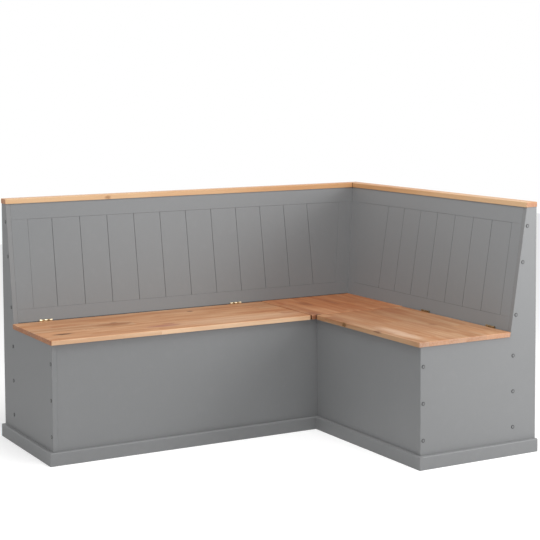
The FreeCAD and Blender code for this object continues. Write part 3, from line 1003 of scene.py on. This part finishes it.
def softened(name, width, arris):
    shape = weldedCopy(name)
    flat = math.radians(easing["flat"])
    bmesh.ops.dissolve_limit(shape, angle_limit=flat, verts=shape.verts, edges=shape.edges)
    shape.verts.index_update()
    corners = [tuple(v.co) for v in shape.verts]
    faces = [[v.index for v in f.verts] for f in shape.faces]
    shape.free()
    mesh = bpy.data.meshes.new(name + "_eased")
    mesh.from_pydata(corners, [], faces)
    mesh.shade_smooth()
    mesh.materials.append(nodes[name].data.materials[0])
    obj = bpy.data.objects.new(name + "_eased", mesh)
    scene.collection.objects.link(obj)
    bevel = obj.modifiers.new("ease", "BEVEL")
    bevel.width = width
    bevel.segments = easing["segments"]
    bevel.limit_method = "ANGLE"
    bevel.angle_limit = math.radians(easing["arris"])
    bevel.harden_normals = True
    bevel.use_clamp_overlap = True
    if arris:
        mesh.materials.append(arris)
        bevel.material = 1
    plainMesh(obj)
    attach(obj, bodyOf[name])
    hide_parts(name)


for group in softening.values():
    for name in group["nodes"]:
        softened(name, group["width"], group["arris"])
print("arrises eased")


# Islands of a node's mesh, each as its lowest and highest corner


def islands(name):
    shape = weldedCopy(name)
    left = set(shape.verts)
    found = []
    while left:
        first = min(left, key=lambda v: tuple(round(c, 6) for c in v.co))
        group = {first}
        edge = [first]
        while edge:
            vert = edge.pop()
            for link in vert.link_edges:
                other = link.other_vert(vert)
                if other not in group:
                    group.add(other)
                    edge.append(other)
        left -= group
        low = Vector(min(v.co[i] for v in group) for i in range(3))
        high = Vector(max(v.co[i] for v in group) for i in range(3))
        found.append((low, high))
    shape.free()
    return found


# Geometry Nodes: one small turned shape on every point, facing as the point says
spinning = {"fullTurn": 6.283, "seed": 4}


def nodeTree(name, sizes):
    tree = bpy.data.node_groups.new(name, "GeometryNodeTree")
    tree.is_modifier = True
    tree.interface.new_socket("Geometry", in_out="INPUT", socket_type="NodeSocketGeometry")
    for label in sizes:
        tree.interface.new_socket(label, in_out="INPUT", socket_type="NodeSocketFloat")
    tree.interface.new_socket("Material", in_out="INPUT", socket_type="NodeSocketMaterial")
    tree.interface.new_socket("Geometry", in_out="OUTPUT", socket_type="NodeSocketGeometry")
    return tree, put(tree, "NodeGroupInput").outputs, put(tree, "NodeGroupOutput")


def raised(tree, mesh, top, height, scale):
    # Pulls the top face up by a height and scales the new top face
    pull = put(tree, "GeometryNodeExtrudeMesh", mode="FACES")
    tree.links.new(mesh, pull.inputs["Mesh"])
    if top is not None:
        tree.links.new(top, pull.inputs["Selection"])
    tree.links.new(height, pull.inputs["Offset Scale"])
    size = put(tree, "GeometryNodeScaleElements", domain="FACE")
    tree.links.new(pull.outputs["Mesh"], size.inputs["Geometry"])
    tree.links.new(pull.outputs["Top"], size.inputs["Selection"])
    size.inputs["Scale"].default_value = scale
    return size.outputs["Geometry"], pull.outputs["Top"]


def onPoints(tree, given, out, shape):
    # Instances of a shape on the incoming points, turned about their own axes at random
    facing = put(tree, "GeometryNodeInputNamedAttribute", data_type="FLOAT_VECTOR")
    facing.inputs["Name"].default_value = "facing"
    align = put(tree, "FunctionNodeAlignRotationToVector", axis="Z")
    tree.links.new(facing.outputs["Attribute"], align.inputs["Vector"])
    chance = put(tree, "FunctionNodeRandomValue", data_type="FLOAT")
    chance.inputs[3].default_value = spinning["fullTurn"]
    chance.inputs["Seed"].default_value = spinning["seed"]
    spin = put(tree, "FunctionNodeAxisAngleToRotation")
    spin.inputs["Axis"].default_value = (0, 0, 1)
    tree.links.new(chance.outputs[1], spin.inputs["Angle"])
    turn = put(tree, "FunctionNodeRotateRotation", rotation_space="LOCAL")
    tree.links.new(align.outputs[0], turn.inputs["Rotation"])
    tree.links.new(spin.outputs[0], turn.inputs["Rotate By"])
    spread = put(tree, "GeometryNodeInstanceOnPoints")
    tree.links.new(given["Geometry"], spread.inputs["Points"])
    tree.links.new(shape, spread.inputs["Instance"])
    tree.links.new(turn.outputs[0], spread.inputs["Rotation"])
    real = put(tree, "GeometryNodeRealizeInstances")
    tree.links.new(spread.outputs[0], real.inputs[0])
    finish = put(tree, "GeometryNodeSetMaterial")
    tree.links.new(real.outputs[0], finish.inputs["Geometry"])
    tree.links.new(given["Material"], finish.inputs["Material"])
    tree.links.new(finish.outputs[0], out.inputs[0])


def disc(tree, radius, sides):
    plate = put(tree, "GeometryNodeMeshCircle", fill_type="NGON")
    plate.inputs["Vertices"].default_value = sides
    tree.links.new(radius, plate.inputs["Radius"])
    return plate.outputs[0]


coverCap = {"sizes": {"Radius": 0.0070, "Height": 0.0016, "Dish": 0.0006}, "sides": 32}


def makeCoverCapTree():
    # A moulded cap: straight rim, rounded shoulder, then a shallow dish with a low button in it
    tree, given, out = nodeTree("coverCapsOnPoints", ("Radius", "Height", "Dish"))
    mesh, top = disc(tree, given["Radius"], coverCap["sides"]), None
    for share, scale in ((0.55, 1.0), (0.30, 0.94), (0.15, 0.90)):
        mesh, top = raised(tree, mesh, top, times(tree, given["Height"], share), scale)
    for share, scale in ((-1.0, 0.92), (0.9, 0.97), (0.0, 0.60), (-0.4, 0.80)):
        mesh, top = raised(tree, mesh, top, times(tree, given["Dish"], share), scale)
    # How far out each corner lies, as a share of the radius, for the rim's painted shadow
    flat = vectorCalc(tree, "MULTIPLY", put(tree, "GeometryNodeInputPosition").outputs[0], (1, 1, 0))[0]
    radial = divided(tree, vectorCalc(tree, "LENGTH", flat)["Value"], given["Radius"])
    store = put(tree, "GeometryNodeStoreNamedAttribute", data_type="FLOAT", domain="POINT")
    store.inputs["Name"].default_value = "radial"
    tree.links.new(mesh, store.inputs["Geometry"])
    tree.links.new(radial, store.inputs["Value"])
    onPoints(tree, given, out, store.outputs["Geometry"])
    return tree


screwHead = {"sides": 24, "slotLength": 1.15, "slotDepth": 1.3}


def makeScrewTree():
    # A countersunk head that stands a hair proud, with a cross cut into it
    tree, given, out = nodeTree("screwHeadsOnPoints", ("Radius", "Height", "Slot"))
    mesh, top = disc(tree, given["Radius"], screwHead["sides"]), None
    for share, scale in ((0.6, 1.0), (0.4, 0.88)):
        mesh, top = raised(tree, mesh, top, times(tree, given["Height"], share), scale)
    cross = put(tree, "GeometryNodeMeshBoolean", operation="DIFFERENCE")
    tree.links.new(mesh, cross.inputs[0])
    for turned in (False, True):
        bar = put(tree, "GeometryNodeMeshCube")
        length, width = times(tree, given["Radius"], screwHead["slotLength"]), given["Slot"]
        depth = times(tree, given["Height"], screwHead["slotDepth"])
        size = put(tree, "ShaderNodeCombineXYZ")
        extents = (width, length, depth) if turned else (length, width, depth)
        for socket, value in zip(size.inputs, extents):
            tree.links.new(value, socket)
        tree.links.new(size.outputs[0], bar.inputs["Size"])
        lift = put(tree, "GeometryNodeTransform")
        tree.links.new(bar.outputs["Mesh"], lift.inputs["Geometry"])
        place = put(tree, "ShaderNodeCombineXYZ")
        tree.links.new(given["Height"], place.inputs[2])
        tree.links.new(place.outputs[0], lift.inputs["Translation"])
        tree.links.new(lift.outputs[0], cross.inputs[1])
    onPoints(tree, given, out, cross.outputs["Mesh"])
    return tree


def spreadOn(name, tree, places, sizes, material, body, replaced=()):
    # Places are pairs of a point and the way it faces
    mesh = bpy.data.meshes.new(name)
    mesh.from_pydata([p for p, _ in places], [], [])
    facing = mesh.attributes.new("facing", "FLOAT_VECTOR", "POINT")
    for i, (_, way) in enumerate(places):
        facing.data[i].vector = way
    obj = bpy.data.objects.new(name, mesh)
    scene.collection.objects.link(obj)
    modifier = obj.modifiers.new("spread", "NODES")
    modifier.node_group = tree
    values = dict(sizes, Material=material)
    for item in tree.interface.items_tree:
        if item.in_out == "INPUT" and item.name in values:
            modifier[item.identifier] = values[item.name]
    plainMesh(obj)
    obj.data.materials.clear()
    obj.data.materials.append(material)
    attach(obj, body)
    if replaced:
        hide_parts(*replaced)
    print(name, "on", len(places), "points,", len(obj.data.polygons), "faces")


def coverCapPlaces():
    # Each cap lies flat on an end panel: on the left one it faces -x, on the right one -y
    places = []
    for low, high in islands("cover_caps"):
        size = high - low
        middle = (low + high) / 2
        if size.x < size.y:
            places.append((Vector((high.x, middle.y, middle.z)), Vector((-1, 0, 0))))
        else:
            places.append((Vector((middle.x, high.y, middle.z)), Vector((0, -1, 0))))
    return places


coverCapTree = makeCoverCapTree()
screwTree = makeScrewTree()
spreadOn(
    "cover_caps_moulded",
    coverCapTree,
    coverCapPlaces(),
    coverCap["sizes"],
    capPlastic,
    "carcass",
    ("cover_caps",),
)

battenScrew = {
    "sizes": {"Radius": 0.0038, "Height": 0.0006, "Slot": 0.0011},
    "ends": 0.035,
    "count": 3,
}


def battenScrewPlaces(name, along):
    # A few screws up through each batten into the lid
    places = []
    for low, high in islands(name):
        middle = (low + high) / 2
        first, last = low[along] + battenScrew["ends"], high[along] - battenScrew["ends"]
        for i in range(battenScrew["count"]):
            point = Vector((middle.x, middle.y, low.z))
            point[along] = first + (last - first) * i / (battenScrew["count"] - 1)
            places.append((point, Vector((0, 0, -1))))
    return places


for wing, along in (("long", 1), ("short", 0)):
    spreadOn(
        wing + "_batten_screws",
        screwTree,
        battenScrewPlaces(wing + "_lid_battens", along),
        battenScrew["sizes"],
        screwSteel,
        wing + "_lid_body",
    )

# Screws in the hinges' leaves, three to a leaf; the leaves stand along the leaning backrest
hingeScrew = {
    "sizes": {"Radius": 0.0024, "Height": 0.0005, "Slot": 0.0008},
    "leanRun": 0.071,
    "leanRise": 0.459,
    "below": 0.0105,
    "pitch": 0.0170,
    "leafGap": 0.0023,
}
pivots = {j["name"].split("_")[0]: Vector(j["pos_m"]) for j in frame["record"]["behaviour"]["joints"]}


def hingeScrewPlaces(wing, along, leaf):
    across = 1 - along
    lean = math.atan2(hingeScrew["leanRun"], hingeScrew["leanRise"])
    sin, cos = math.sin(lean), math.cos(lean)
    inward, down = Vector((0, 0, -sin)), Vector((0, 0, -cos))
    inward[across] = cos
    down[across] = -sin
    depth = 0 if leaf == "lid" else hingeScrew["leafGap"]
    facing = inward if leaf == "lid" else -inward
    places = []
    for low, high in islands(wing + "_hinge_" + leaf + "_leaves"):
        for step in (-1, 0, 1):
            point = pivots[wing] + inward * depth + down * hingeScrew["below"]
            point[along] = (low[along] + high[along]) / 2 + step * hingeScrew["pitch"]
            places.append((point, facing))
    return places


for wing, along in (("long", 0), ("short", 1)):
    for leaf, body in (("fixed", "carcass"), ("lid", wing + "_lid_body")):
        spreadOn(
            wing + "_hinge_screws_" + leaf,
            screwTree,
            hingeScrewPlaces(wing, along, leaf),
            hingeScrew["sizes"],
            screwBrass,
            body,
        )

print("scene ready")
